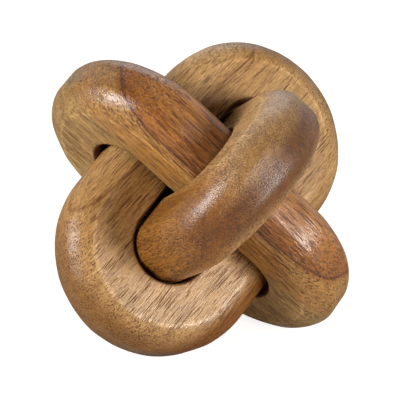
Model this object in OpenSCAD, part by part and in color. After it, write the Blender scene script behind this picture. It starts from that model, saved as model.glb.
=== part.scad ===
// Wooden knot: three flat rounded links, each passing through the hole of the next.
// Two links are closed rings. The third is made in two halves, pinned and glued shut
// inside the hole of its neighbour, because three closed rings can't be put together.

/* [Links] */
// Width of a link across its round ends
link_width = 88; // [80:0.5:100]
// Thickness of the board that a link is cut from
board_t = 29; // [26:0.5:34]
// Radius of the round-over on a link's outer edges
edge_round = 12.5; // [8:0.5:17]
// Angle at which the round-over meets a link's flat faces in a crease
face_crease = 6; // [2:1:20]
// Angle at which the round-over meets the flat band round a link's edge
band_crease = 12; // [2:1:30]
// Radius of the easing on the edges of a link's hole
hole_ease = 2.5; // [1:0.25:6]

/* [Fit of a link in the next one] */
// Gap on each side of a link in the hole that it passes through
side_play = 1.75; // [1:0.05:3]
// Distance that a link can slide each way before its hole stops it
end_play = 2.45; // [1.5:0.05:6]

/* [Glued joint of the front link] */
// Diameter of a dowel
dowel_d = 10; // [6:0.5:14]
// Length of a dowel
dowel_l = 40; // [24:1:50]
// Number of glue flutes round a dowel
dowel_flutes = 12; // [6:1:16]
// Depth of a glue flute
flute_depth = 0.4; // [0.2:0.05:0.8]
// Chamfer on a dowel's ends
dowel_chamfer = 1; // [0.5:0.1:2]
// Gap for glue round a dowel in its bore
glue_gap = 0.1; // [0.05:0.05:0.3]
// Empty depth left past each end of a dowel
bore_spare = 1; // [0.5:0.5:4]

/* [How the knot has settled] */
// Share of its end play that the right link has slid up along its length
right_slide_share = 0.63; // [0:0.01:0.7]
// Share of its side play that the left link has rolled through
left_roll_share = 0.39; // [0:0.01:0.6]

/* [Hidden] */
$fn = 96;

// Colours of the three boards and of the dowels
right_board = [0.70, 0.52, 0.33];
left_board = [0.60, 0.40, 0.23];
front_board = [0.58, 0.40, 0.24];
dowel_wood = [0.85, 0.74, 0.55];

// A link's hole takes the next link's thickness, and its bars are what is left of its width
hole_w = board_t + 2 * side_play;
bar_w = (link_width - hole_w) / 2;
bar_centre = (link_width + hole_w) / 4;

// Where the round-over's centre lies: in from the edge, and above the middle of the board's thickness
edge_in = edge_round * cos(band_crease);
round_z = board_t / 2 - edge_round * cos(face_crease);
round_y = link_width / 2 - edge_in;

// How far a link's edge goes into the round end of the next link's hole, at one angle of the round-over
function room_at(a) =
    sqrt(pow(hole_w / 2, 2) - pow(round_z + edge_round * sin(a), 2)) + edge_in - edge_round * cos(a);

// The straight runs are as long as the next link's width needs, with the end play
room_steps = 12;
room_step = (90 - face_crease - band_crease) / room_steps;
end_room = min([for (i = [0 : room_steps]) room_at(band_crease + i * room_step)]);
straight = link_width / 2 + end_play - end_room;

// Each link leans like a cube's edge on its corner: all three axes at one angle to the table
lean = asin(1 / sqrt(3));
turn_over = 45;
right_turn = 30;
left_turn = 150;
front_turn = 270;

// Extra depth so that a cut starts clear of the face that it goes into
cut_over = 1;

// How far a link reaches down from its middle, with the table's normal given in the link's frame
function reach(n) =
    let (flat = norm([n.x, n.y]))
    let (a = max(band_crease, min(90 - face_crease, atan2(abs(n.z), flat))))
    straight * abs(n.x) + (round_y + edge_round * cos(a)) * flat + (round_z + edge_round * sin(a)) * abs(n.z);

// The table's normal in the frame of a link that is tilted about its short axis or rolled about its long one
function normal_tilted(a) = [cos(a) - sin(a), 1, sin(a) + cos(a)] / sqrt(3);
function normal_rolled(a) = [1, cos(a) + sin(a), cos(a) - sin(a)] / sqrt(3);

// The front link sits true. The right link has slid up and tips its lower end back to the table
tip_lever = straight + round_y / sqrt(2) - round_z;
right_tilt = -atan(right_slide_share * end_play / tip_lever);
left_roll = left_roll_share * asin(side_play / round_y);

// Height of the knot's middle over the table, and the shifts that bring all lower ends down to it
rest_h = reach(normal_tilted(0));
right_slide = (reach(normal_tilted(right_tilt)) - rest_h) * sqrt(3);
left_shift = (reach(normal_rolled(left_roll)) - rest_h) * sqrt(3);

// Section of a bar, with the ring's axis at x = 0: rounded on the outer side, eased on the hole's side
module bar_section() {
    inner = hole_w / 2;
    difference() {
        union() {
            translate([inner + hole_ease, -board_t / 2])
                square([bar_w - hole_ease, board_t]);
            translate([inner, -board_t / 2 + hole_ease])
                square([hole_ease, board_t - 2 * hole_ease]);
            for (side = [-1, 1])
                translate([inner + hole_ease, side * (board_t / 2 - hole_ease)])
                    circle(hole_ease);
        }
        for (side = [0, 1])
            mirror([0, side])
                translate([round_y, round_z])
                    difference() {
                        square(edge_round + cut_over);
                        circle(edge_round);
                    }
    }
}

// Half of a ring, from the middle of its bars to its round end along +X
module half_ring() {
    for (side = [0, 1])
        mirror([0, side, 0])
            rotate([90, 0, 90])
                linear_extrude(straight)
                    bar_section();
    translate([straight, 0, 0])
        rotate([0, 0, -90])
            rotate_extrude(angle = 180)
                bar_section();
}

// Closed ring, cut whole from one board
module ring() {
    half_ring();
    mirror([1, 0, 0])
        half_ring();
}

// Turns a link from its own frame, long axis along X and board flat, to its place in the knot
module in_knot(turn) {
    translate([0, 0, rest_h])
        rotate([turn_over, -lean, turn])
            children();
}

// One half of the front link, with a blind bore in the end of each bar
module pinned_half() {
    difference() {
        half_ring();
        for (side = [-1, 1])
            translate([-cut_over, side * bar_centre, 0])
                rotate([0, 90, 0])
                    cylinder(h = cut_over + dowel_l / 2 + bore_spare, d = dowel_d + 2 * glue_gap);
    }
}

// Fluted dowel along X, half of it in each half of the link
module dowel() {
    straight_l = dowel_l - 2 * dowel_chamfer;
    tip_d = dowel_d - 2 * dowel_chamfer;
    rotate([0, 90, 0])
        difference() {
            union() {
                cylinder(h = straight_l, d = dowel_d, center = true);
                for (end = [0, 1])
                    mirror([0, 0, end])
                        translate([0, 0, straight_l / 2])
                            cylinder(h = dowel_chamfer, d1 = dowel_d, d2 = tip_d);
            }
            for (i = [0 : dowel_flutes - 1])
                rotate([0, 0, i * 360 / dowel_flutes])
                    translate([dowel_d / 2, 0, 0])
                        cylinder(h = dowel_l + 2 * cut_over, r = flute_depth, center = true);
        }
}

module right_link() {
    color(right_board)
        in_knot(right_turn)
            translate([right_slide, 0, 0])
                rotate([0, right_tilt, 0])
                    ring();
}

module left_link() {
    color(left_board)
        in_knot(left_turn)
            translate([0, 0, left_shift])
                rotate([left_roll, 0, 0])
                    ring();
}

module front_link_upper_half() {
    color(front_board)
        in_knot(front_turn)
            pinned_half();
}

module front_link_lower_half() {
    color(front_board)
        in_knot(front_turn)
            mirror([1, 0, 0])
                pinned_half();
}

module left_dowel() {
    color(dowel_wood)
        in_knot(front_turn)
            translate([0, -bar_centre, 0])
                dowel();
}

module right_dowel() {
    color(dowel_wood)
        in_knot(front_turn)
            translate([0, bar_centre, 0])
                dowel();
}

right_link();
left_link();
front_link_upper_half();
front_link_lower_half();
left_dowel();
right_dowel();
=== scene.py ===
import math

import bmesh
import bpy
from mathutils import Euler, Matrix, Vector


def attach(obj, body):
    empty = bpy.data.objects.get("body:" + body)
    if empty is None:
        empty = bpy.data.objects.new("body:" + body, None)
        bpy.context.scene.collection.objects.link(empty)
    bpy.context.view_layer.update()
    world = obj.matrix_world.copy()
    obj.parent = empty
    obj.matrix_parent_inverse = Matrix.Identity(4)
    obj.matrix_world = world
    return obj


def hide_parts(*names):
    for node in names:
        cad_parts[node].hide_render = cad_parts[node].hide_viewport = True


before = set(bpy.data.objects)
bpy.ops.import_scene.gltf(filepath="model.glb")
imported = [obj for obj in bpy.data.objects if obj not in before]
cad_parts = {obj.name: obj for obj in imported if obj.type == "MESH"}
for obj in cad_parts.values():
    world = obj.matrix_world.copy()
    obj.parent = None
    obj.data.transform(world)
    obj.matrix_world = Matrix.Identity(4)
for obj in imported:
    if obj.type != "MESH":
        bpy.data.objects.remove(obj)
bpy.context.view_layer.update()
view_layer = bpy.context.view_layer


# Right link. A closed ring sawn whole out of one light brown hardwood board, with a long hole.
# A router rounds its outer edges and leaves a soft crease on the faces and round the edge. It is
# sanded by hand and rubbed with satin oil. It slips through the left link and holds the front one.
LINK_WIDTH = 0.088
BOARD_THICK = 0.029
SIDE_PLAY = 0.00175
END_PLAY = 0.00245
ROUND_OVER = 0.0125
FACE_CREASE = math.radians(6)
EDGE_CREASE = math.radians(12)
ROUND_OVER_FULLNESS = 0.44
HOLE_EASING = 0.0012
# the hole takes the next link's thickness, and the bars are what is left of the width
HOLE_RADIUS = BOARD_THICK / 2 + SIDE_PLAY
BAR_WIDTH = LINK_WIDTH / 2 - HOLE_RADIUS
# centre of the round-over, out from the ring's middle line and up from the middle of the board
ROUND_OUT = LINK_WIDTH / 2 - ROUND_OVER * math.cos(EDGE_CREASE)
ROUND_UP = BOARD_THICK / 2 - ROUND_OVER * math.cos(FACE_CREASE)
# how far the round-over runs in over the face and down the edge
ROUND_OVER_FACE = LINK_WIDTH / 2 - ROUND_OUT - ROUND_OVER * math.sin(FACE_CREASE)
ROUND_OVER_EDGE = BOARD_THICK / 2 - ROUND_UP - ROUND_OVER * math.sin(EDGE_CREASE)
CREASE_RADIUS = LINK_WIDTH / 2 - ROUND_OVER_FACE


def room_at(angle):
    """How far the next link's edge goes into the hole's round end, at one angle of its round-over."""
    up = ROUND_UP + ROUND_OVER * math.sin(angle)
    edge = LINK_WIDTH / 2 - ROUND_OUT - ROUND_OVER * math.cos(angle)
    return math.sqrt(HOLE_RADIUS ** 2 - up ** 2) + edge


# the straight runs are as long as the next link's width needs, with its end play
ROOM_STEPS = 12
room_step = (math.pi / 2 - FACE_CREASE - EDGE_CREASE) / ROOM_STEPS
end_room = min(room_at(EDGE_CREASE + step * room_step) for step in range(ROOM_STEPS + 1))
STRAIGHT_HALF = LINK_WIDTH / 2 + END_PLAY - end_room
LINK_LENGTH = LINK_WIDTH + 2 * STRAIGHT_HALF
SAME_PLACE = 1e-5
MERGE_WITHIN = 1e-6


def only(piece):
    """Makes this piece the one that is selected and active."""
    bpy.ops.object.select_all(action="DESELECT")
    piece.select_set(True)
    view_layer.objects.active = piece


def pick(piece, kind, wanted):
    """Selects those edges or faces of the piece in edit mode that are wanted."""
    bpy.ops.mesh.select_mode(type=kind)
    bpy.ops.mesh.select_all(action="DESELECT")
    shape = bmesh.from_edit_mesh(piece.data)
    for part in shape.edges if kind == "EDGE" else shape.faces:
        if wanted(part):
            part.select_set(True)
    bmesh.update_edit_mesh(piece.data)


def span(edge):
    """How far an edge runs along each axis."""
    run = edge.verts[1].co - edge.verts[0].co
    return Vector((abs(run.x), abs(run.y), abs(run.z)))


def out_from_middle(place):
    """Distance of a point from the line between the centres of the ring's two round ends."""
    return math.hypot(max(abs(place.x) - STRAIGHT_HALF, 0), place.y)


def lies_on_face(edge, radius, height):
    """True for an edge that follows the ring at this radius on one of its two flat faces."""
    if span(edge).z >= SAME_PLACE:
        return False
    for corner in edge.verts:
        off_face = abs(abs(corner.co.z) - height)
        off_radius = abs(out_from_middle(corner.co) - radius)
        if off_face >= SAME_PLACE or off_radius >= SAME_PLACE * 10:
            return False
    return True


TRUE_ROUND = 0.5
ROUND_END_STEPS = 44
ROUND_OVER_STEPS = 20
EASING_STEPS = 6
BAR_CUTS = 30
FACE_CUTS = 12
EDGE_CUTS = 10
WIDE_GAP = 0.012
UPRIGHT = 0.9


def saw_ring():
    """The ring in its own frame: length along X, board flat, middle at the origin."""
    stretch = ROUND_OVER_FACE / ROUND_OVER_EDGE
    tall = BOARD_THICK * stretch
    bpy.ops.mesh.primitive_cube_add(size=1, scale=(LINK_LENGTH, LINK_WIDTH, tall))
    ring = bpy.context.object
    only(ring)
    bpy.ops.object.transform_apply(location=True, rotation=True, scale=True)
    bpy.ops.object.mode_set(mode="EDIT")
    # round ends
    pick(ring, "EDGE", lambda edge: span(edge).z > tall / 2)
    bpy.ops.mesh.bevel(
        offset=LINK_WIDTH / 2, segments=ROUND_END_STEPS, profile=TRUE_ROUND, affect="EDGES"
    )
    bpy.ops.mesh.select_all(action="SELECT")
    bpy.ops.mesh.remove_doubles(threshold=MERGE_WITHIN)
    # hole, right through
    for side in (1, -1):
        pick(ring, "FACE", lambda face: face.normal.z * side > UPRIGHT)
        bpy.ops.mesh.inset(thickness=BAR_WIDTH, depth=0, use_even_offset=True)
    pick(ring, "FACE", lambda face: abs(face.normal.z) > UPRIGHT and len(face.verts) > 4)
    bpy.ops.mesh.bridge_edge_loops()
    # round-over: it runs further over the face than down the edge, so it is cut on the stretched ring
    pick(ring, "EDGE", lambda edge: lies_on_face(edge, LINK_WIDTH / 2, tall / 2))
    bpy.ops.mesh.bevel(
        offset=ROUND_OVER_FACE, segments=ROUND_OVER_STEPS, profile=ROUND_OVER_FULLNESS, affect="EDGES"
    )
    bpy.ops.mesh.select_all(action="SELECT")
    bpy.ops.transform.resize(value=(1, 1, 1 / stretch), center_override=(0, 0, 0))
    # eased edges of the hole
    pick(ring, "EDGE", lambda edge: lies_on_face(edge, HOLE_RADIUS, BOARD_THICK / 2))
    bpy.ops.mesh.bevel(offset=HOLE_EASING, segments=EASING_STEPS, profile=TRUE_ROUND, affect="EDGES")
    # a finer net, which the sanding needs: along the bars, across the faces and down the edges
    pick(ring, "EDGE", lambda edge: span(edge).x > STRAIGHT_HALF)
    bpy.ops.mesh.subdivide(number_cuts=BAR_CUTS)
    pick(ring, "EDGE", lambda edge: span(edge).z < SAME_PLACE and edge.calc_length() > WIDE_GAP)
    bpy.ops.mesh.subdivide(number_cuts=FACE_CUTS)
    pick(ring, "EDGE", lambda edge: span(edge).z > ROUND_OVER_EDGE)
    bpy.ops.mesh.subdivide(number_cuts=EDGE_CUTS)
    # the creases on the faces stay crisp
    pick(ring, "EDGE", lambda edge: lies_on_face(edge, CREASE_RADIUS, BOARD_THICK / 2))
    bpy.ops.mesh.mark_sharp()
    bpy.ops.object.mode_set(mode="OBJECT")
    return ring


def reach(way_up):
    """How far a link reaches down from its middle, with the way up given in the link's own frame."""
    flat = math.hypot(way_up.x, way_up.y)
    angle = math.atan2(abs(way_up.z), flat)
    angle = min(max(angle, EDGE_CREASE), math.pi / 2 - FACE_CREASE)
    out = ROUND_OUT + ROUND_OVER * math.cos(angle)
    high = ROUND_UP + ROUND_OVER * math.sin(angle)
    return STRAIGHT_HALF * abs(way_up.x) + out * flat + high * abs(way_up.z)


# the links lean like the edges of a cube that stands on its corner, so up is that cube's diagonal
LEAN = math.asin(1 / math.sqrt(3))
TURN_OVER = math.radians(45)
CUBE_DIAGONAL = Vector((1, 1, 1)).normalized()
KNOT_HEIGHT = reach(CUBE_DIAGONAL)


def in_knot(turn):
    """Where a link that turns this far round the knot lies before it settles."""
    turned = Euler((TURN_OVER, -LEAN, math.radians(turn)), "XYZ").to_matrix().to_4x4()
    return Matrix.Translation((0, 0, KNOT_HEIGHT)) @ turned


def back_to_table(turned):
    """How far a link that has turned in its play moves along an axis of its own to stand again."""
    return (reach(turned.transposed() @ CUBE_DIAGONAL) - KNOT_HEIGHT) / CUBE_DIAGONAL.x


def copy_of(piece, name):
    """Another piece of the same shape, with a mesh of its own."""
    twin = piece.copy()
    twin.data = piece.data.copy()
    twin.name = name
    bpy.context.scene.collection.objects.link(twin)
    return twin


sanding_marks = bpy.data.textures.new("sanding_marks", "CLOUDS")
sanding_marks.noise_scale = 0.016
sanding_marks.noise_depth = 1
SANDED_OFF = 0.0007
SANDED_ON_BARS = 0.15
ENDS_FROM, ENDS_RUN = 0.03, 0.02
OUTER_FROM, OUTER_RUN = 0.024, 0.01


def rise(value, start, run):
    """0 up to the start, 1 once past the run, and straight between them."""
    return min(max((value - start) / run, 0), 1)


def settle_and_sand(piece, place):
    """Puts a link in its place and gives its round ends the uneven surface of sanding by hand."""
    ends = piece.vertex_groups.new(name="round_ends")
    for corner in piece.data.vertices:
        along = rise(abs(corner.co.x), ENDS_FROM, ENDS_RUN)
        outer = rise(out_from_middle(corner.co), OUTER_FROM, OUTER_RUN)
        share = SANDED_ON_BARS + (1 - SANDED_ON_BARS) * along * outer
        ends.add([corner.index], share, "REPLACE")
    only(piece)
    piece.matrix_world = place
    bpy.ops.object.transform_apply(location=True, rotation=True, scale=True)
    sand = piece.modifiers.new("sand", "DISPLACE")
    sand.texture = sanding_marks
    sand.texture_coords = "LOCAL"
    sand.strength = SANDED_OFF
    sand.mid_level = 0.5
    sand.vertex_group = ends.name
    bpy.ops.object.modifier_apply(modifier=sand.name)
    bpy.ops.object.shade_smooth()


def add(tree, kind, inputs=None, **settings):
    """A node with its settings, and with its inputs set to values or joined to other nodes."""
    node = tree.nodes.new(kind)
    for name, value in settings.items():
        setattr(node, name, value)
    for key, value in (inputs or {}).items():
        if isinstance(value, bpy.types.NodeSocket):
            tree.links.new(value, node.inputs[key])
        else:
            node.inputs[key].default_value = value
    return node


def value_of(tree, operation, *values):
    """The result of one Math node."""
    return add(tree, "ShaderNodeMath", dict(enumerate(values)), operation=operation).outputs[0]


def vector_of(tree, operation, *values):
    """The result of one Vector Math node."""
    return add(tree, "ShaderNodeVectorMath", dict(enumerate(values)), operation=operation).outputs[0]


def ramp_between(tree, value, low, high):
    """0 at low, 1 at high, and smooth between them."""
    inputs = {"Value": value, "From Min": low, "From Max": high}
    return add(tree, "ShaderNodeMapRange", inputs, interpolation_type="SMOOTHSTEP").outputs["Result"]


SOFT = 0.28


def cloud(tree, place, size, detail, low=SOFT):
    """Noise from 0 to 1, with spots of about this size along each axis; a higher low makes it crisper."""
    where = vector_of(tree, "DIVIDE", place, size)
    noise = add(tree, "ShaderNodeTexNoise", {"Vector": where, "Scale": 1.0, "Detail": detail})
    return ramp_between(tree, noise.outputs["Fac"], low, 1 - low)


def mixed(tree, share, one, other):
    """One colour turned into the other by this share."""
    return add(tree, "ShaderNodeMix", {0: share, 6: one, 7: other}, data_type="RGBA").outputs[2]


def tinted(tree, share, colour, tint):
    """A colour multiplied by a tint, by this share."""
    return mixed(tree, share, colour, vector_of(tree, "MULTIPLY", colour, tint))


def new_group(name, inputs, outputs):
    """An empty node group, with its input and output sockets."""
    tree = bpy.data.node_groups.new(name, "ShaderNodeTree")
    for label, kind in inputs:
        tree.interface.new_socket(label, in_out="INPUT", socket_type="NodeSocket" + kind)
    for label in outputs:
        tree.interface.new_socket(label, in_out="OUTPUT", socket_type="NodeSocketFloat")
    return tree, add(tree, "NodeGroupInput").outputs, add(tree, "NodeGroupOutput").inputs


# the figure of the wood is laid out in mm: along the grain, across it and through the board
MM = 1000
SWAY_SIZE = (60, 22, 22)
RING_SPACING = 2.4


def growth_rings_group():
    """Depth of a point into the tree, in mm across the growth rings, and the tone of its ring."""
    asked = [("Place", "Vector"), ("Slope", "Float"), ("Drift", "Float"), ("Wander", "Float")]
    tree, given, result = new_group("growth_rings", asked, ["Depth", "Ring"])
    axes = add(tree, "ShaderNodeSeparateXYZ", {0: given["Place"]}).outputs
    sloped = value_of(tree, "MULTIPLY_ADD", axes["Z"], given["Slope"], axes["Y"])
    straight = value_of(tree, "MULTIPLY_ADD", axes["X"], given["Drift"], sloped)
    sway = value_of(tree, "SUBTRACT", cloud(tree, given["Place"], SWAY_SIZE, 2.0), 0.5)
    depth = value_of(tree, "MULTIPLY_ADD", sway, given["Wander"], straight)
    tree.links.new(depth, result["Depth"])
    turn_of_year = value_of(tree, "DIVIDE", depth, RING_SPACING)
    tone = {"W": turn_of_year, "Scale": 1.0, "Detail": 3.0, "Roughness": 0.6}
    tone = add(tree, "ShaderNodeTexNoise", tone, noise_dimensions="1D").outputs["Fac"]
    tree.links.new(ramp_between(tree, tone, 0.3, 0.7), result["Ring"])
    return tree


# the size of each kind of streak, how far it breaks up, and how crisp it is
STREAKS = {
    "Broad": ((110, 3.4, 3.4), 2.0, SOFT),
    "Fine": ((14, 0.5, 0.5), 2.0, 0.36),
    "Fleck": ((1.8, 0.45, 0.45), 1.0, 0.32),
}


def fibre_group():
    """Streaks along the grain, broad and fine, and the short flecks between them, from 0 to 1."""
    tree, given, result = new_group("fibre", [("Place", "Vector")], list(STREAKS))
    for label, (size, detail, low) in STREAKS.items():
        tree.links.new(cloud(tree, given["Place"], size, detail, low), result[label])
    return tree


CROWD_SIZE = (45, 9, 9)
NARROWEST_PORE, PORE_SPREAD = 0.72, 0.5
PORE_CORE = 0.78


def pores_group():
    """Open pores: thin tubes along the grain, which show as dashes on a face and as dots on end grain."""
    asked = [("Place", "Vector"), ("Spacing", "Float"), ("Length", "Float"), ("Width", "Float")]
    tree, given, result = new_group("open_pores", asked, ["Pore"])
    tube = {0: given["Length"], 1: given["Spacing"], 2: given["Spacing"]}
    tube = add(tree, "ShaderNodeCombineXYZ", tube).outputs[0]
    where = vector_of(tree, "DIVIDE", given["Place"], tube)
    near = add(tree, "ShaderNodeTexVoronoi", {"Vector": where, "Scale": 1.0}).outputs["Distance"]
    crowd = cloud(tree, given["Place"], CROWD_SIZE, 1.0)
    crowd = value_of(tree, "MULTIPLY_ADD", crowd, PORE_SPREAD, NARROWEST_PORE)
    wide = value_of(tree, "MULTIPLY", given["Width"], crowd)
    core = value_of(tree, "MULTIPLY", wide, PORE_CORE)
    tree.links.new(ramp_between(tree, near, wide, core), result["Pore"])
    return tree


# how far the hole wall's darkening reaches: partly scorch by the saw, partly painted shade
WALL_DARK_FULL, WALL_DARK_END = 0.2, 1.6
# the band and patches where the crease is smoother and carries a painted highlight
CREASE_BAND_MIDDLE, CREASE_BAND_FULL, CREASE_BAND_END = 0.5, 0.2, 1.3
FACE_FULL, FACE_END = 0.4, 1.4
CREASE_PATCH = (14, 14, 14)
LEAST_ON_CREASE = 0.35
SLOPE_FROM, SLOPE_TO = 31.8, 44.2
END_GRAIN_FROM, END_GRAIN_TO = 0.2, 0.82


def ring_zones_group():
    """The wall of the ring's hole, darkened partly for scorch by the saw and partly as painted shade; the
    crease of the round-over, polished by hands and painted lighter as a painted highlight; and the ends,
    where the round-over cuts across the grain."""
    zones = ["Hole wall", "Crease", "End grain"]
    tree, given, result = new_group("ring_zones", [("Place", "Vector")], zones)
    axes = add(tree, "ShaderNodeSeparateXYZ", {0: given["Place"]}).outputs
    past = value_of(tree, "SUBTRACT", value_of(tree, "ABSOLUTE", axes["X"]), STRAIGHT_HALF * MM)
    past = value_of(tree, "MAXIMUM", past, 0.0)
    across = value_of(tree, "MULTIPLY", axes["Y"], axes["Y"])
    radius = value_of(tree, "SQRT", value_of(tree, "MULTIPLY_ADD", past, past, across))
    # hole wall, darkened partly for scorch by the saw and partly as painted shade
    wall = ramp_between(tree, radius, HOLE_RADIUS * MM + WALL_DARK_END, HOLE_RADIUS * MM + WALL_DARK_FULL)
    tree.links.new(wall, result["Hole wall"])
    # crease, in patches: smoother, and painted lighter and whiter as a painted highlight
    off = value_of(tree, "SUBTRACT", radius, CREASE_RADIUS * MM + CREASE_BAND_MIDDLE)
    off = value_of(tree, "ABSOLUTE", off)
    height = value_of(tree, "ABSOLUTE", axes["Z"])
    half_board = BOARD_THICK / 2 * MM
    face = ramp_between(tree, height, half_board - FACE_END, half_board - FACE_FULL)
    crease_band = value_of(tree, "MULTIPLY", ramp_between(tree, off, CREASE_BAND_END, CREASE_BAND_FULL), face)
    patchy = cloud(tree, given["Place"], CREASE_PATCH, 2.0)
    patchy = value_of(tree, "MULTIPLY_ADD", patchy, 1 - LEAST_ON_CREASE, LEAST_ON_CREASE)
    tree.links.new(value_of(tree, "MULTIPLY", crease_band, patchy), result["Crease"])
    # end grain
    slope = {"Value": radius, "From Min": SLOPE_FROM, "From Max": SLOPE_TO}
    slope = add(tree, "ShaderNodeMapRange", slope).outputs["Result"]
    end_on = value_of(tree, "MULTIPLY", slope, value_of(tree, "DIVIDE", past, radius))
    tree.links.new(ramp_between(tree, end_on, END_GRAIN_FROM, END_GRAIN_TO), result["End grain"])
    return tree


growth_rings = growth_rings_group()
fibre = fibre_group()
open_pores = pores_group()
ring_zones = ring_zones_group()


def board_place(tree, place):
    """Position in the board's own frame, in mm: along its length, across it and through it."""
    own = {
        "Vector": add(tree, "ShaderNodeTexCoord").outputs["Object"],
        "Location": place.to_translation(),
        "Rotation": place.to_euler("XYZ"),
        "Scale": [1 / MM] * 3,
    }
    return add(tree, "ShaderNodeMapping", own, vector_type="TEXTURE").outputs[0]


RAMP_SPAN = 100
WAVE_LENGTH = (48, 30, 30)
WAVE_HEIGHT = (0, 4, 4)
DARK_STREAK = (0.56, 0.47, 0.38)
LIGHT_STREAK = (1.42, 1.50, 1.62)
PORE_TINT = (0.30, 0.18, 0.11)
# the hole wall's tint is partly scorch by the saw and partly painted shade
SCORCH_AND_PAINTED_SHADE_TINT = (0.25, 0.17, 0.11)
# the crease's tint is a painted highlight, lighter and whiter
CREASE_PAINTED_HIGHLIGHT = (1.45, 1.55, 1.8)
END_UNDER, END_OVER = -1.5, 5.0
PORES_LOST_AT_END = 0.1
SMOOTHER_ON_STREAK, SMOOTHER_ON_CREASE = 0.08, 0.12
ROUGHER_IN_PORE, ROUGHER_ON_WALL = 0.25, 0.5
STREAK_RELIEF, FLECK_RELIEF = 0.3, 0.12
RELIEF_STRENGTH, RELIEF_HEIGHT = 0.7, 0.0002


def oiled_board(name, place, bands, rings, grain, pores, streaks, painted_light_fade, end_tints, roughness, specular):
    """Oiled hardwood: rings, streaks and pores that run through the board along its own length.

    A band is a depth in mm, a colour and the share of its pores that are open. The rings go to their
    group, the grain turns and shifts the streaks, and a kind of pore is its spacing, length, width and
    darkness. The streaks have a strength each; the painted light fade paints one end of the board lighter
    for the light that falls there; and the end grain has one tint under the middle of the board and one
    over it."""
    board = bpy.data.materials.new(name)
    board.use_nodes = True
    tree = board.node_tree
    shader = tree.nodes["Principled BSDF"]
    own = board_place(tree, place)
    years = add(tree, "ShaderNodeGroup", {"Place": own, **rings}, node_tree=growth_rings).outputs
    zones = add(tree, "ShaderNodeGroup", {"Place": own}, node_tree=ring_zones).outputs
    # the grain waves a little along the board
    turn, shift = grain
    turned = {"Vector": own, "Location": shift, "Rotation": (0, 0, math.radians(turn))}
    along = add(tree, "ShaderNodeMapping", turned).outputs[0]
    wave = {"Vector": vector_of(tree, "DIVIDE", along, WAVE_LENGTH), "Scale": 1.0, "Detail": 1.0}
    wave = add(tree, "ShaderNodeTexNoise", wave).outputs["Color"]
    wave = vector_of(tree, "SUBTRACT", wave, (0.5, 0.5, 0.5))
    along = vector_of(tree, "ADD", along, vector_of(tree, "MULTIPLY", wave, WAVE_HEIGHT))
    lines = add(tree, "ShaderNodeGroup", {"Place": along}, node_tree=fibre).outputs
    # colour across the rings, with the share of open pores as its alpha
    depth = value_of(tree, "MULTIPLY_ADD", years["Depth"], 1 / RAMP_SPAN, 0.5)
    ramp = add(tree, "ShaderNodeValToRGB", {"Fac": depth})
    stops = ramp.color_ramp.elements
    while len(stops) < len(bands):
        stops.new(0.5)
    for stop, (at, band_colour, porous) in zip(stops, bands):
        stop.position = at / RAMP_SPAN + 0.5
        stop.color = (*band_colour, porous)
    wood = ramp.outputs["Color"]
    deep = 0.0
    for spacing, length, width, dark in pores:
        given = {"Place": along, "Spacing": spacing, "Length": length, "Width": width}
        tubes = add(tree, "ShaderNodeGroup", given, node_tree=open_pores).outputs["Pore"]
        deep = value_of(tree, "MAXIMUM", deep, value_of(tree, "MULTIPLY", tubes, dark))
    deep = value_of(tree, "MULTIPLY", deep, ramp.outputs["Alpha"])
    kept = value_of(tree, "MULTIPLY_ADD", zones["End grain"], -PORES_LOST_AT_END, 1.0)
    deep = value_of(tree, "MULTIPLY", deep, kept)
    # darker and redder, or lighter and paler: in streaks along the grain, and from end to end, where one
    # end of the board is painted lighter as painted light
    axes = add(tree, "ShaderNodeSeparateXYZ", {0: own}).outputs
    tone = value_of(tree, "MULTIPLY_ADD", axes["X"], painted_light_fade, 0.5)
    for kind, share in streaks.items():
        streak = years["Ring"] if kind == "Ring" else lines[kind]
        tone = value_of(tree, "ADD", tone, value_of(tree, "MULTIPLY_ADD", streak, share, -share / 2))
    dark_wood = vector_of(tree, "MULTIPLY", wood, DARK_STREAK)
    light_wood = vector_of(tree, "MULTIPLY", wood, LIGHT_STREAK)
    colour = mixed(tree, tone, dark_wood, light_wood)
    colour = mixed(tree, deep, colour, vector_of(tree, "MULTIPLY", wood, PORE_TINT))
    under, over = ((*tint, 1) for tint in end_tints)
    end_tint = mixed(tree, ramp_between(tree, axes["Z"], END_UNDER, END_OVER), under, over)
    colour = tinted(tree, zones["End grain"], colour, end_tint)
    # the hole wall is darkened, partly for scorch by the saw and partly as painted shade
    colour = tinted(tree, zones["Hole wall"], colour, SCORCH_AND_PAINTED_SHADE_TINT)
    # the crease is painted lighter and whiter: a painted highlight
    colour = tinted(tree, zones["Crease"], colour, CREASE_PAINTED_HIGHLIGHT)
    tree.links.new(colour, shader.inputs["Base Color"])
    rough = value_of(tree, "MULTIPLY_ADD", lines["Fine"], -SMOOTHER_ON_STREAK, roughness)
    rough = value_of(tree, "MULTIPLY_ADD", zones["Crease"], -SMOOTHER_ON_CREASE, rough)
    rough = value_of(tree, "MULTIPLY_ADD", deep, ROUGHER_IN_PORE, rough)
    rough = value_of(tree, "MULTIPLY_ADD", zones["Hole wall"], ROUGHER_ON_WALL, rough)
    tree.links.new(rough, shader.inputs["Roughness"])
    relief = value_of(tree, "MULTIPLY", lines["Fleck"], FLECK_RELIEF)
    relief = value_of(tree, "MULTIPLY_ADD", lines["Fine"], STREAK_RELIEF, relief)
    relief = value_of(tree, "SUBTRACT", relief, deep)
    raised = {"Height": relief, "Strength": RELIEF_STRENGTH, "Distance": RELIEF_HEIGHT}
    tree.links.new(add(tree, "ShaderNodeBump", raised).outputs["Normal"], shader.inputs["Normal"])
    shader.inputs["Specular IOR Level"].default_value = specular
    return board


plain_ring = saw_ring()
right_link = copy_of(plain_ring, "right_link_wood")
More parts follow.
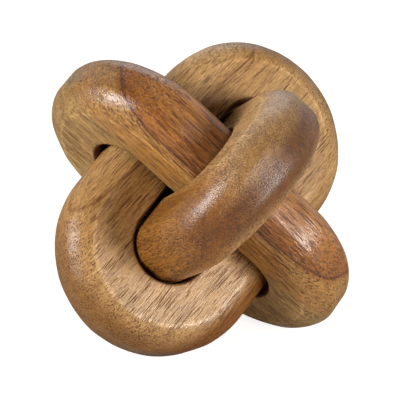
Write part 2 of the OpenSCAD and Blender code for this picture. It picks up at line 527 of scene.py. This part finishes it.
# fibres that the saw tore on one stretch of the hole's edge
TORN_DOWN = 0.006
TORN_OUT = 0.0008
TORN_RAGGED = 0.6
TORN_FROM, TORN_TO = 0.02, 0.044
TORN_SIDE = 0.011
WALL_LEEWAY = 0.0008


def torn(face):
    """True for the faces of the hole's wall where fibres stand out, at the ring's upper end."""
    at = face.calc_center_median()
    on_wall = out_from_middle(at) < HOLE_RADIUS + WALL_LEEWAY
    near_edge = 0 < BOARD_THICK / 2 - at.z < TORN_DOWN
    return on_wall and near_edge and at.y > TORN_SIDE and TORN_FROM < at.x < TORN_TO


only(right_link)
bpy.ops.object.mode_set(mode="EDIT")
pick(right_link, "FACE", torn)
bpy.ops.transform.shrink_fatten(value=TORN_OUT)
bpy.ops.transform.vertex_random(offset=TORN_OUT * TORN_RAGGED, uniform=0.0, normal=0.6, seed=4)
bpy.ops.object.mode_set(mode="OBJECT")
# it has slid up by part of its end play, and tips its lower end back to the table
RIGHT_TURN = 30
RIGHT_SLID = 0.63
tip_lever = STRAIGHT_HALF + ROUND_OUT / math.sqrt(2) - ROUND_UP
right_tilt = Matrix.Rotation(-math.atan(RIGHT_SLID * END_PLAY / tip_lever), 4, "Y")
right_slide = Matrix.Translation((back_to_table(right_tilt), 0, 0))
right_place = in_knot(RIGHT_TURN) @ right_slide @ right_tilt
settle_and_sand(right_link, right_place)
right_heart = (0.28, 0.10, 0.01)
right_honey = (0.58, 0.33, 0.125)
right_amber = (0.53, 0.28, 0.09)
right_late_line = (0.32, 0.13, 0.03)
right_bands = [
    (-36, right_heart, 0.8),
    (-27, right_honey, 0.8),
    (-10, right_honey, 1.0),
    (20.3, right_honey, 1.0),
    (20.8, right_amber, 0.9),
    (21.3, right_honey, 1.0),
    (30, right_amber, 1.0),
    (38.6, right_amber, 0.8),
    (39.3, right_late_line, 0.8),
    (40.3, right_amber, 0.8),
    (47, right_honey, 0.8),
]
right_wood = oiled_board(
    "right_board",
    right_place,
    right_bands,
    rings={"Slope": 0.6, "Drift": 0.12, "Wander": 3.0},
    grain=(3.0, (0, 0, 0)),
    pores=[(0.86, 20, 0.29, 0.95), (0.58, 11, 0.28, 0.85)],
    streaks={"Ring": 0.15, "Broad": 0.22, "Fine": 0.36, "Fleck": 0.32},
    painted_light_fade=0.001,
    end_tints=[(0.53, 0.42, 0.26), (0.58, 0.47, 0.33)],
    roughness=0.38,
    specular=0.52,
)
right_link.data.materials.clear()
right_link.data.materials.append(right_wood)
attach(right_link, "right_link")
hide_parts("right_link")


# Left link. The same ring from another board, where light sapwood meets reddish heartwood along one
# dark growth line. It runs through the front link's hole and round the right link, and has rolled
# a little to one side in the play that it has there.
LEFT_TURN = 150
LEFT_ROLLED = 0.39
left_link = copy_of(plain_ring, "left_link_wood")
left_roll = Matrix.Rotation(LEFT_ROLLED * math.asin(SIDE_PLAY / ROUND_OUT), 4, "X")
left_shift = Matrix.Translation((0, 0, back_to_table(left_roll)))
left_place = in_knot(LEFT_TURN) @ left_shift @ left_roll
settle_and_sand(left_link, left_place)
left_straw = (0.57, 0.35, 0.12)
left_olive = (0.49, 0.30, 0.10)
left_orange = (0.53, 0.27, 0.075)
left_red = (0.40, 0.15, 0.035)
left_late_line = (0.13, 0.045, 0.015)
left_russet = (0.49, 0.21, 0.06)
left_bands = [
    (-40, left_straw, 0.8),
    (-22, left_olive, 0.8),
    (-15, left_straw, 0.8),
    (-8, left_olive, 0.8),
    (2, left_straw, 0.8),
    (8, left_olive, 0.8),
    (14, left_orange, 0.9),
    (30, left_orange, 1.0),
    (31.6, left_red, 0.9),
    (32.1, left_late_line, 0.8),
    (33.5, left_red, 0.8),
    (36, left_red, 0.8),
    (47, left_russet, 0.9),
]
left_wood = oiled_board(
    "left_board",
    left_place,
    left_bands,
    rings={"Slope": 0.5, "Drift": 0.01, "Wander": 1.2},
    grain=(0.0, (310, 47, 12)),
    pores=[(1.2, 14, 0.31, 1.0), (0.7, 12, 0.28, 0.9)],
    streaks={"Ring": 0.2, "Broad": 0.35, "Fine": 0.58, "Fleck": 0.34},
    painted_light_fade=-0.002,
    end_tints=[(0.82, 0.77, 0.68), (0.82, 0.77, 0.68)],
    roughness=0.30,
    specular=0.8,
)
left_link.data.materials.clear()
left_link.data.materials.append(left_wood)
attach(left_link, "left_link")
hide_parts("left_link")


# Front link, in two halves. Three closed rings can't be put together, so this one is sawn across the
# middle of both bars, drilled for a dowel in each, and glued shut inside the right link's hole, where
# the seam is out of sight. Both halves keep the grain of their one board.
FRONT_TURN = 270
BORE_RADIUS = 0.0051
BORE_DEPTH = 0.021
BORE_STEPS = 40
BAR_MIDDLE = (LINK_WIDTH / 2 + HOLE_RADIUS) / 2
SHARP_EDGE = math.radians(50)
front_place = in_knot(FRONT_TURN)


def saw_half(piece, side):
    """Keeps the half of a ring on this side of its middle and drills its two bores."""
    only(piece)
    bpy.ops.object.mode_set(mode="EDIT")
    bpy.ops.mesh.select_all(action="SELECT")
    bpy.ops.mesh.bisect(
        plane_co=(0, 0, 0), plane_no=(side, 0, 0), threshold=MERGE_WITHIN,
        clear_inner=True, clear_outer=False, use_fill=True,
    )
    bpy.ops.object.mode_set(mode="OBJECT")
    for bar in (1, -1):
        bpy.ops.mesh.primitive_cylinder_add(
            radius=BORE_RADIUS, depth=2 * BORE_DEPTH, vertices=BORE_STEPS,
            location=(0, bar * BAR_MIDDLE, 0), rotation=(0, math.radians(90), 0),
        )
        drill = bpy.context.object
        only(piece)
        cut = piece.modifiers.new("bore", "BOOLEAN")
        cut.operation = "DIFFERENCE"
        cut.solver = "EXACT"
        cut.object = drill
        bpy.ops.object.modifier_apply(modifier=cut.name)
        bpy.data.objects.remove(drill)


front_umber = (0.24, 0.08, 0.012)
front_chestnut = (0.33, 0.13, 0.02)
front_ginger = (0.43, 0.175, 0.025)
front_tan = (0.61, 0.355, 0.14)
front_bands = [
    (-50, front_umber, 1.0),
    (-47, front_chestnut, 1.0),
    (-38.5, front_chestnut, 1.0),
    (-38, front_umber, 1.0),
    (-37.5, front_chestnut, 1.0),
    (-32, front_ginger, 1.0),
    (-21, front_tan, 1.0),
    (40, front_tan, 1.0),
]
front_wood = oiled_board(
    "front_board",
    front_place,
    front_bands,
    rings={"Slope": -0.69, "Drift": 0.0, "Wander": 3.0},
    grain=(0.0, (-270, 18, 95)),
    pores=[(0.78, 6, 0.31, 0.92), (0.55, 5, 0.29, 0.8)],
    streaks={"Ring": 0.2, "Broad": 0.3, "Fine": 0.45, "Fleck": 0.46},
    painted_light_fade=0.0,
    end_tints=[(0.34, 0.205, 0.08), (0.70, 0.62, 0.51)],
    roughness=0.38,
    specular=0.85,
)
upper_half = plain_ring
lower_half = copy_of(plain_ring, "front_link_lower_half_wood")
upper_half.name = "front_link_upper_half_wood"
for half, side, node in (
    (upper_half, 1, "front_link_upper_half"),
    (lower_half, -1, "front_link_lower_half"),
):
    saw_half(half, side)
    settle_and_sand(half, front_place)
    only(half)
    bpy.ops.object.shade_smooth_by_angle(angle=SHARP_EDGE)
    half.data.materials.clear()
    half.data.materials.append(front_wood)
    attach(half, "front_link")
    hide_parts(node)


# Dowels. Two fluted pins of pale turned beech, glued into the bores of the front link's halves.
# They are inside the wood and show only when the joint is open, so they keep their CAD shape.
beech_pale = (0.72, 0.54, 0.33, 1)
beech_warm = (0.62, 0.44, 0.25, 1)
beech_fleck = (0.42, 0.24, 0.11, 1)
beech_flecks = {"Spacing": 0.6, "Length": 4.0, "Width": 0.22}
BEECH_ROUGH, BEECH_ROUGH_SPREAD = 0.6, 0.15
BEECH_RELIEF, BEECH_RELIEF_HEIGHT = 0.5, 0.00008
dowel_wood = bpy.data.materials.new("dowel_wood")
dowel_wood.use_nodes = True
beech = dowel_wood.node_tree
beech_shader = beech.nodes["Principled BSDF"]
beech_own = board_place(beech, front_place)
beech_lines = add(beech, "ShaderNodeGroup", {"Place": beech_own}, node_tree=fibre).outputs
beech_dashes = add(beech, "ShaderNodeGroup", {"Place": beech_own, **beech_flecks}, node_tree=open_pores)
beech_colour = mixed(beech, beech_lines["Fine"], beech_warm, beech_pale)
beech_colour = mixed(beech, beech_dashes.outputs["Pore"], beech_colour, beech_fleck)
beech.links.new(beech_colour, beech_shader.inputs["Base Color"])
beech_rough = value_of(beech, "MULTIPLY_ADD", beech_lines["Broad"], BEECH_ROUGH_SPREAD, BEECH_ROUGH)
beech.links.new(beech_rough, beech_shader.inputs["Roughness"])
beech_raised = {"Height": beech_lines["Fine"], "Strength": BEECH_RELIEF, "Distance": BEECH_RELIEF_HEIGHT}
beech_bump = add(beech, "ShaderNodeBump", beech_raised)
beech.links.new(beech_bump.outputs["Normal"], beech_shader.inputs["Normal"])
for node in ("left_dowel", "right_dowel"):
    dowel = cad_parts[node]
    dowel.data.materials.clear()
    dowel.data.materials.append(dowel_wood)


# Floor and light. A plain cream floor that keeps the knot's soft shadow, a softbox on each side of
# the camera and a weak one behind, white paper behind the knot and a dim room in front of it.
FLOOR_SIZE = 8
FLOOR_PAINT = (0.62, 0.54, 0.45, 1)
FLOOR_LIFT = 0.87
FLOOR_MIRRORED = 0.0
WHITE = (1, 1, 1, 1)
SURROUND = 0.065
ROOM_MIRRORED = 0.03
PAPER_MIRRORED = 0.6
PAPER_FROM, PAPER_FULL = -0.3, 0.5
CAMERA_AZIMUTH, CAMERA_ELEVATION = -26.986, 21.942
LAMP_DISTANCE = 1.0
bpy.ops.mesh.primitive_plane_add(size=FLOOR_SIZE, location=(0, 0, 0))
floor = bpy.context.object
floor.name = "floor"


def seen_level(tree, seen, mirrored, unseen):
    """One strength for what the camera sees, one for what the oiled wood mirrors, one for the rest."""
    path = add(tree, "ShaderNodeLightPath").outputs
    clear = value_of(tree, "MAXIMUM", path["Is Camera Ray"], path["Is Transmission Ray"])
    level = add(tree, "ShaderNodeMix", {0: path["Is Glossy Ray"], 2: unseen, 3: mirrored}).outputs[0]
    return add(tree, "ShaderNodeMix", {0: clear, 2: level, 3: seen}).outputs[0]


floor_white = bpy.data.materials.new("floor_white")
floor_white.use_nodes = True
floor_tree = floor_white.node_tree
floor_tree.nodes.clear()
paint = add(floor_tree, "ShaderNodeBsdfDiffuse", {"Color": FLOOR_PAINT})
floor_level = seen_level(floor_tree, FLOOR_LIFT, FLOOR_MIRRORED, 0.0)
lift = add(floor_tree, "ShaderNodeEmission", {"Color": WHITE, "Strength": floor_level})
both = add(floor_tree, "ShaderNodeAddShader", {0: paint.outputs[0], 1: lift.outputs[0]})
add(floor_tree, "ShaderNodeOutputMaterial", {"Surface": both.outputs[0]})
floor.data.materials.append(floor_white)


def direction(azimuth, elevation):
    """Unit vector towards a compass direction, where azimuth 0 is -Y, and a height above the floor."""
    turn = math.radians(azimuth)
    height = math.radians(elevation)
    flat = math.cos(height)
    return Vector((math.sin(turn) * flat, -math.cos(turn) * flat, math.sin(height)))


to_camera = direction(CAMERA_AZIMUTH, CAMERA_ELEVATION)
surround = bpy.data.worlds.new("surround")
bpy.context.scene.world = surround
surround.use_nodes = True
sky = surround.node_tree
sky.nodes.clear()
ray = add(sky, "ShaderNodeTexCoord").outputs["Generated"]
behind = add(sky, "ShaderNodeVectorMath", {0: ray, 1: -to_camera}, operation="DOT_PRODUCT")
paper = ramp_between(sky, behind.outputs["Value"], PAPER_FROM, PAPER_FULL)
paper = value_of(sky, "MULTIPLY_ADD", paper, PAPER_MIRRORED - ROOM_MIRRORED, ROOM_MIRRORED)
sky_level = seen_level(sky, 1.0, paper, SURROUND)
white = add(sky, "ShaderNodeBackground", {"Color": WHITE, "Strength": sky_level})
add(sky, "ShaderNodeOutputWorld", {"Surface": white.outputs[0]})

knot_middle = Vector((0, 0, KNOT_HEIGHT))
for name, azimuth, elevation, size, power in (
    ("softbox_left", -88, 18, 0.42, 8.2),
    ("softbox_right", 27, 20, 0.42, 6.6),
    ("softbox_back", 160, 40, 0.70, 1.6),
):
    lamp = bpy.data.lights.new(name, "AREA")
    lamp.shape = "DISK"
    lamp.size = size
    lamp.energy = power
    softbox = bpy.data.objects.new(name, lamp)
    bpy.context.scene.collection.objects.link(softbox)
    towards = direction(azimuth, elevation)
    softbox.location = knot_middle + towards * LAMP_DISTANCE
    softbox.rotation_euler = (-towards).to_track_quat("-Z", "Y").to_euler()


# Camera. A long lens that looks at the knot from the front left and a little above, rolled to one
# side as the photograph is.
CAMERA_ROLL = math.radians(8.169)
CAMERA_DISTANCE = 0.65958
SENSOR_WIDTH = 36
LENS_PIXELS, PICTURE_PIXELS = 1552.46, 400
NEAREST_SEEN = 0.05
AIM_RIGHT, AIM_UP = 0.000276, -0.000693
camera_turn = math.radians(CAMERA_AZIMUTH)
level = Vector((math.cos(camera_turn), math.sin(camera_turn), 0))
above = to_camera.cross(level)
right = level * math.cos(CAMERA_ROLL) + above * math.sin(CAMERA_ROLL)
up = above * math.cos(CAMERA_ROLL) - level * math.sin(CAMERA_ROLL)
aim = knot_middle + right * AIM_RIGHT + up * AIM_UP
facing = Matrix((right, up, to_camera)).transposed().to_4x4()
camera_data = bpy.data.cameras.new("camera")
camera_data.sensor_width = SENSOR_WIDTH
camera_data.lens = SENSOR_WIDTH * LENS_PIXELS / PICTURE_PIXELS
camera_data.clip_start = NEAREST_SEEN
camera = bpy.data.objects.new("camera", camera_data)
bpy.context.scene.collection.objects.link(camera)
camera.matrix_world = Matrix.Translation(aim + to_camera * CAMERA_DISTANCE) @ facing
bpy.context.scene.camera = camera
bpy.context.scene.view_settings.view_transform = "Standard"
